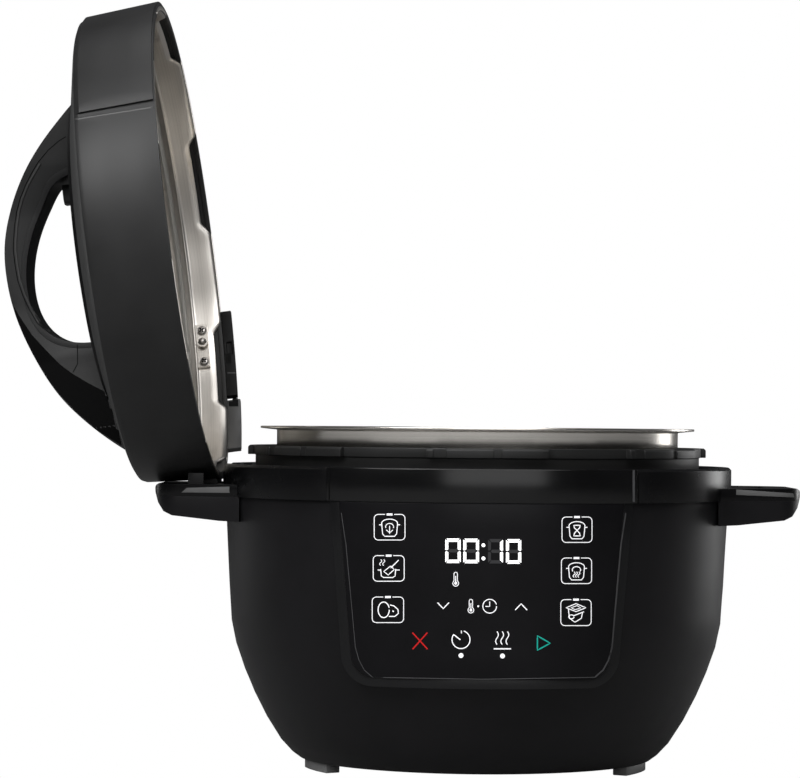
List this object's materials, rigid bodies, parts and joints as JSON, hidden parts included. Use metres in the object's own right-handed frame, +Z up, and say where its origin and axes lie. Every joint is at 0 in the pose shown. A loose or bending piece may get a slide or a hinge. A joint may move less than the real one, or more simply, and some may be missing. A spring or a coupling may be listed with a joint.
{
  "type": "multicooker",
  "caption": "Round countertop multicooker with a deep domed lid parked upright in one side handle, a wide lift-out pot, an arch lid handle and a touch control panel.",
  "frame": {"origin": "On the worktop, below the middle of the whole part's bounding box with the lid parked", "axes": "+X towards the right handle, -Y the control panel's side, +Z up"},
  "size_m": [0.5104, 0.3619, 0.4902],
  "materials": {
    "black_plastic": "satin",
    "gloss_black": "gloss",
    "bezel_plastic": "satin",
    "grip_plastic": "satin",
    "steel": "satin",
    "fastener_steel": "satin",
    "aluminium": "satin",
    "element_steel": "matt",
    "silicone": "matt",
    "rubber": "matt",
    "circuit_board": "matt",
    "component_plastic": "matt",
    "cup_plastic": "gloss",
    "grey_plastic": "satin"
  },
  "bodies": {
    "base": {"outer_housing": "black_plastic", "control_bezel": "bezel_plastic", "control_overlay": "gloss_black", "display_module": "black_plastic", "control_board": "circuit_board", "top_ring": "black_plastic", "front_band": "gloss_black", "locking_collar": "black_plastic", "outer_pot": "aluminium", "heating_plate": "aluminium", "heating_element": "element_steel", "plate_spacers": "fastener_steel", "sensor_holder": "black_plastic", "thermal_cutout": "aluminium", "bottom_cover": "black_plastic", "cover_screws": "fastener_steel", "feet": "rubber", "power_board": "circuit_board", "board_parts": "component_plastic", "inlet_socket": "black_plastic", "inlet_pins": "fastener_steel", "cup_bracket": "black_plastic", "left_handle": "black_plastic", "left_handle_cap": "black_plastic", "left_handle_screws": "fastener_steel", "right_handle": "black_plastic", "right_handle_cap": "black_plastic", "right_handle_screws": "fastener_steel", "sensor_spring": "fastener_steel"},
    "pot": {"inner_pot": "steel"},
    "sensor": {"sensor_cup": "aluminium"},
    "cup": {"condensation_cup": "cup_plastic"},
    "lid": {"lid_ring": "black_plastic", "arch_handle": "black_plastic", "handle_grip": "grip_plastic", "crown_screws": "fastener_steel", "lid_crown": "black_plastic", "steel_liner": "steel", "sealing_ring": "silicone", "ring_rack": "steel", "steam_pipe": "steel", "pipe_shield": "steel", "float_housing": "steel", "pin_bracket": "steel", "bracket_screws": "fastener_steel", "lid_skirt": "black_plastic", "skirt_post": "grey_plastic"},
    "valve_cap": {"valve_cap": "black_plastic"},
    "release_button": {"release_button": "black_plastic"},
    "float": {"float_pin": "steel", "float_seal": "silicone"},
    "lock_pin": {"lock_pin": "steel"}
  },
  "joints": [
    {"name": "lid_swing", "type": "hinge", "parent": "base", "child": "lid", "pos_m": [-0.10401, -0.012, 0.1846], "axis": [0.0332, 0.9995, 0], "range_deg": [0, 97.7]},
    {"name": "pot_lift", "type": "slide", "parent": "base", "child": "pot", "axis": [0, 0, -1], "range_m": [-0.16, 0]},
    {"name": "sensor_travel", "type": "slide", "parent": "base", "child": "sensor", "axis": [0, 0, -1], "range_m": [0, 0.003], "stiffness_N_per_m": 400, "springref_m": -0.004, "deforming": ["sensor_spring"]},
    {"name": "cup_slide", "type": "slide", "parent": "base", "child": "cup", "axis": [0, 1, 0], "range_m": [0, 0.045]},
    {"name": "valve_lift", "type": "slide", "parent": "lid", "child": "valve_cap", "axis": [-0.9904, 0.0329, -0.134], "range_m": [0, 0.008]},
    {"name": "button_press", "type": "slide", "parent": "lid", "child": "release_button", "axis": [0.9904, -0.0329, 0.134], "range_m": [0, 0.004], "stiffness_N_per_m": 300, "springref_m": -0.004},
    {"name": "float_rise", "type": "slide", "parent": "lid", "child": "float", "axis": [-0.9904, 0.0329, -0.134], "range_m": [0, 0.0045]},
    {"name": "lock_pin_slide", "type": "slide", "parent": "lid", "child": "lock_pin", "axis": [-0.0863, -0.9054, 0.4157], "range_m": [0, 0.002], "stiffness_N_per_m": 200, "springref_m": -0.003}
  ]
}
